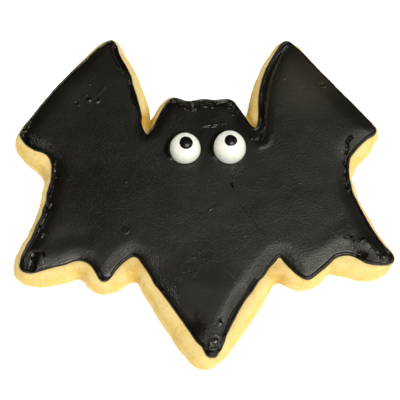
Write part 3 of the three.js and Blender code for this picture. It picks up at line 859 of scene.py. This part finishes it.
# How wet it looks: most on the marks and the bead's crest, least at the bead's foot
BEAD_WET, FOOT_DULL = 0.6, 0.8
CREST_STARTS, CREST_ENDS = (0.05, 0.3), (-1.3, -0.8)
FOOT_DULL_TO = 0.2
points, normals = places_of(icing)
wet = marked(points[:, :2])[1]
depth = icing_line.depth(points[:, :2])
wet = np.maximum(wet, BEAD_WET * ramp(depth, *CREST_STARTS) * ramp(-depth, *CREST_ENDS))
wet -= FOOT_DULL * ramp(-depth, -FOOT_DULL_TO, 0)
mark_points(icing, "wet", wet)

# Where its skin wrinkled as it ran: on gentle slopes towards the front, off the bead and marks
RAN_SLOPES = (-0.996, -0.97)
RAN_DRY = 0.25
RAN_DEPTHS = (1, 1.6)
RAN_FRONT = 0.12
ran = ramp(-normals[:, 2], *RAN_SLOPES) * ramp(-wet, -RAN_DRY, 0) * ramp(depth, *RAN_DEPTHS)
ran *= ramp(-normals[:, 1], 0, RAN_FRONT)
mark_points(icing, "ran", ran)

# Where it dried duller than elsewhere, or kept more of its shine: x, y and how dull. Where it is
# dull, its colour is also painted a lighter brown as painted light.
DRYING_AND_LIGHT = np.array([
    (32.0, 38.0, 2.2), (40.0, 12.0, 0.5), (30.0, -10.0, -0.2), (2.0, -32.0, -1.8),
    (3.0, -45.0, -0.7), (0.0, 24.0, -1.4), (-35.0, 2.0, -0.9), (-30.0, -12.0, -0.4),
    (-38.0, 36.0, 0.6), (46.0, -17.0, -0.9), (3.0, 2.0, 0.1),
])  # fmt: skip
DRYING_AND_LIGHT_REACH = 12.0
away = np.linalg.norm(points[:, None, :2] - DRYING_AND_LIGHT[:, :2], axis=2) / DRYING_AND_LIGHT_REACH
mark_points(icing, "dull", np.exp(-(away**2)) @ DRYING_AND_LIGHT[:, 2])

ICING_BLACK = (0.0016, 0.0013, 0.0008, 1)
ICING_BROWN = (0.0066, 0.0052, 0.0026, 1)
ICING_PAINTED_LIGHT = (0.0135, 0.0105, 0.0058, 1)


def black_icing(wire):
    """Brownish black, satin where it dried flat, shinier on the bead and marks, lighter where dull
    as painted light.
    """
    clouds = wire.mottle(width=9, detail=3)
    grain = wire.mottle(width=0.38, detail=2, seed=2)
    sheen = 0.30 + clouds * 0.07 + wire.number("dull") * 0.05 - wire.number("wet") * 0.19
    ripple = grain * (0.85 + wire.number("ran") * 1.5)
    height = ripple + wire.mottle(width=1.6, detail=1, seed=4) * 0.12
    color = (clouds + (grain - 0.5) * 1.6).between(0.2, 0.8).blend(ICING_BLACK, ICING_BROWN)
    return {
        # Painted light: where the icing is dull, its colour is painted a lighter brown.
        "Base Color": wire.number("dull").between(0.2, 2.2).blend(color, ICING_PAINTED_LIGHT),
        "Roughness": sheen,
        "Specular IOR Level": 0.5,
        "Specular Tint": (1, 0.955, 0.85, 1),
        "Normal": height.bumped(distance=0.1, strength=1.0),
    }


icing.data.materials.append(material("black icing", black_icing))
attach(icing, "root")
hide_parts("icing")

# The candy eyes. Domes of pressed and polished white sugar, flat underneath, set on the
# icing before it dried, so that each sits in it by a hair.
EYE_FULLNESS = 2.3
EYE_WIDEST = 0.6
EYE_SINK = 0.2
EYE_SIDES = 128
EYE_ROWS = 44
EYE_UNEVEN = ((3.2, 0.09), (1.1, 0.02))
EYE_SHIFT = (-0.11, 0.28, 0)
EYE_FOOT = ((0.9, -EYE_SINK), (0.955, 0.1), (0.99, 0.35))


def turned(name, profile, centre, stretch, sides):
    """A turned piece: a profile of radius and height, from its foot up to its tip."""
    angles = np.linspace(0, 2 * math.pi, sides, endpoint=False)
    circle = np.column_stack([np.cos(angles), stretch * np.sin(angles)])
    rings = [np.column_stack([radius * circle, np.full(sides, height)])
             for radius, height in profile[:-1]]  # fmt: skip
    tip, base = [(0, 0, profile[-1][1])], [(0, 0, profile[0][1])]
    points = np.vstack([*rings, tip, base]) + centre
    rows = np.arange(len(rings) * sides).reshape(-1, sides)
    faces = [band(low, high) for low, high in zip(rows, rows[1:])]
    for ring, middle in ((rows[-1], len(points) - 2), (rows[0][::-1], len(points) - 1)):
        faces.append(np.column_stack([ring, np.roll(ring, -1), np.full(sides, middle)]))
    return solid(name, points, faces)


def dome(radius, half_width, height):
    """Height of an eye's surface at a distance from its middle."""
    fall = 1 - np.clip(radius / half_width, 0, 1) ** EYE_FULLNESS
    return EYE_WIDEST + (height - EYE_WIDEST) * fall ** (1 / EYE_FULLNESS)


def eye_sizes(side):
    """Where an eye stands, its half width and length, and its height without the pupil."""
    low, high = (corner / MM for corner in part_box(f"eye_{side}"))
    half = (high - low) / 2
    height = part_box(f"pupil_{side}")[1].z / MM - low.z
    middle = np.array([low.x + half.x, low.y + half.y, low.z]) + EYE_SHIFT
    return middle, half.x, half.y / half.x, height


SUGAR_WHITE = (0.985, 0.935, 0.835, 1)
SUGAR_CREAM = (0.965, 0.89, 0.76, 1)


def white_candy(wire):
    """Warm white sugar with a dull polish, creamier in faint clouds."""
    clouds = wire.mottle(width=2.6, detail=3)
    grain = wire.mottle(width=0.3, detail=2, seed=6)
    return {
        "Base Color": (clouds + grain * 0.3).between(0.45, 0.95).blend(SUGAR_WHITE, SUGAR_CREAM),
        "Roughness": 0.4 + clouds * 0.12,
        "Subsurface Weight": 0.7,
        "Subsurface Radius": (1, 0.88, 0.7),
        "Subsurface Scale": 2.6 * MM,
        "Normal": (clouds * 0.6 + grain * 0.4).bumped(distance=0.04, strength=0.4),
    }


white_sugar = material("white candy", white_candy)
for side in ("left", "right"):
    centre, half_width, stretch, height = eye_sizes(side)
    turn = np.linspace(0, math.pi / 2, EYE_ROWS)
    radius = half_width * np.cos(turn) ** (2 / EYE_FULLNESS)
    rise = EYE_WIDEST + (height - EYE_WIDEST) * np.sin(turn) ** (2 / EYE_FULLNESS)
    foot = [(share * half_width, up) for share, up in EYE_FOOT]
    profile = [*foot, *zip(radius, rise)]
    eye = turned(f"candy_eye_{side}", profile, centre, stretch, EYE_SIDES)
    press(eye, rumple(places_of(eye)[0], EYE_UNEVEN, seed=8))
    eye.data.materials.append(white_sugar)
    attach(eye, "root")
    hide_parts(f"eye_{side}")

# The pupils. Dots of black sugar stuck on top of the domes, a hair off the middle and so thin
# that they follow the sugar below.
PUPIL_LIFT = 0.16
PUPIL_SINK = 0.25
PUPIL_ROWS = 16
PUPIL_SPREAD = 1.06
PUPIL_SHIFT = (0.3, -0.2, 0)
PUPIL_FLATNESS = 4
PUPIL_FOOT, PUPIL_RIM = 0.9, 0.998
PUPIL_EDGE = 0.04
PUPIL_UNEVEN = ((1.4, 0.02),)
CANDY_BLACK = (0.003, 0.003, 0.003, 1)
CANDY_SOOT = (0.004, 0.004, 0.004, 1)


def black_candy(wire):
    """Black sugar with a soft polish."""
    clouds = wire.mottle(width=0.9, detail=2)
    return {
        "Base Color": clouds.between(0.3, 0.7).blend(CANDY_BLACK, CANDY_SOOT),
        "Roughness": 0.22 + clouds * 0.08,
        "Specular IOR Level": 0.28,
        "Normal": clouds.bumped(distance=0.03, strength=0.3),
    }


black_sugar = material("black candy", black_candy)
for side in ("left", "right"):
    centre, half_width, stretch, height = eye_sizes(side)
    low, high = (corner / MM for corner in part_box(f"pupil_{side}"))
    pupil = PUPIL_SPREAD * (high.x - low.x) / 2
    radius = pupil * np.sin(np.linspace(math.pi / 2, 0, PUPIL_ROWS))
    lift = PUPIL_LIFT * (1 - (radius / pupil) ** PUPIL_FLATNESS)
    foot = [(PUPIL_FOOT * pupil, -PUPIL_SINK), (pupil, -PUPIL_EDGE)]
    profile = [*foot, *zip(radius * PUPIL_RIM, lift)]
    dot = turned(f"candy_pupil_{side}", profile, centre + PUPIL_SHIFT, stretch, EYE_SIDES)
    points = places_of(dot)[0]
    off_centre = (points - centre)[:, :2] / (1, stretch)
    points[:, 2] += dome(np.linalg.norm(off_centre, axis=1), half_width, height)
    dot.data.vertices.foreach_set("co", (points * MM).ravel())
    dot.data.update()
    press(dot, rumple(places_of(dot)[0], PUPIL_UNEVEN, seed=9))
    dot.data.materials.append(black_sugar)
    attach(dot, "root")
    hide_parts(f"pupil_{side}")

# The table. A wide pale board that the cookie lies flat on, washed out to white by the lamps,
# with nothing else on it.
TABLE_HALF = 4.0
TABLE_WHITE = (0.93, 0.93, 0.925, 1)
TABLE_SHADE = (0.91, 0.91, 0.905, 1)


def pale_board(wire):
    """Matt white with the faintest clouding."""
    clouds = wire.mottle(width=60, detail=2)
    return {
        "Base Color": clouds.between(0.3, 0.7).blend(TABLE_WHITE, TABLE_SHADE),
        "Emission Color": (1, 1, 1, 1),
        "Emission Strength": 0.5,
        "Roughness": 0.9,
        "Specular IOR Level": 0.1,
    }


corners = [(x * TABLE_HALF, y * TABLE_HALF, 0) for x, y in ((-1, -1), (1, -1), (1, 1), (-1, 1))]
table = bpy.data.objects.new("table", bpy.data.meshes.new("table"))
table.data.from_pydata(corners, [], [(0, 1, 2, 3)])
bpy.context.scene.collection.objects.link(table)
table.data.materials.append(material("pale board", pale_board))

# The light. A pale room, bright in front of the table and dark behind it. A soft lamp overhead
# to the right and a faint one at the right side glint on the icing's rounded edges, and two
# low ones, in front and at the left, only fill the shadows.
ROOM_STOPS = ((0.2, (0.05, 0.047, 0.042)), (0.4, (0.09, 0.085, 0.076)),
              (0.75, (0.8, 0.78, 0.74)), (1, (1.2, 1.18, 1.14)))
FROM_RIGHT = 0.25
FROM_LOW = 0.3
room = bpy.data.worlds.new("room")
room.use_nodes = True
room.node_tree.nodes.clear()
air = Wire(room.node_tree)
direction = air.node("ShaderNodeTexCoord")
rightward = air.node("ShaderNodeSeparateXYZ", {}, {"Vector": direction}, output=0)
backward = air.node("ShaderNodeSeparateXYZ", {}, {"Vector": direction}, output=1)
upward = air.node("ShaderNodeSeparateXYZ", {}, {"Vector": direction}, output=2)
lit = 0.5 - backward * 0.5 - upward * FROM_LOW + rightward * FROM_RIGHT
glow = air.node("ShaderNodeValToRGB", {"stops": ROOM_STOPS}, {"Fac": lit})
background = air.node("ShaderNodeBackground", {}, {"Color": glow, "Strength": 1.0})
air.node("ShaderNodeOutputWorld", {}, {"Surface": background})
bpy.context.scene.world = room


def lamp(name, place, width, power, glints=True, shades=True):
    """A round soft lamp in metres and watts, aimed at the cookie, for glints, shades or both."""
    light = bpy.data.lights.new(name, "AREA")
    light.shape, light.size, light.energy = "DISK", width, power
    made = bpy.data.objects.new(name, light)
    made.visible_glossy = glints
    made.visible_diffuse = shades
    made.location = place
    made.rotation_euler = (-Vector(place)).to_track_quat("-Z", "Y").to_euler()
    bpy.context.scene.collection.objects.link(made)


lamp("overhead lamp", (0.21, 0.0, 1.0), width=0.42, power=6.3)
lamp("front lamp", (0.3, -0.36, 0.42), width=0.36, power=1.42, glints=False)
lamp("fill lamp", (-0.42, 0.05, 0.28), width=0.3, power=0.55, glints=False)
lamp("side lamp", (0.62, 0.21, 0.54), width=0.34, power=0.5, shades=False)

# The camera. It stands in front of the cookie and looks down on it at the photograph's angle,
# through a long lens.
CAMERA_RISE = math.radians(62)
CAMERA_AWAY = 0.56
LENS = 167.78
SENSOR = 36
AIM = Vector((-0.68, -1.505, 3.5)) * MM
optics = bpy.data.cameras.new("camera")
optics.lens, optics.sensor_width = LENS, SENSOR
camera = bpy.data.objects.new("camera", optics)
back = Vector((0, -math.cos(CAMERA_RISE), math.sin(CAMERA_RISE)))
camera.location = AIM + CAMERA_AWAY * back
camera.rotation_euler = (-back).to_track_quat("-Z", "Y").to_euler()
bpy.context.scene.collection.objects.link(camera)
bpy.context.scene.camera = camera
bpy.context.scene.view_settings.view_transform = "Standard"
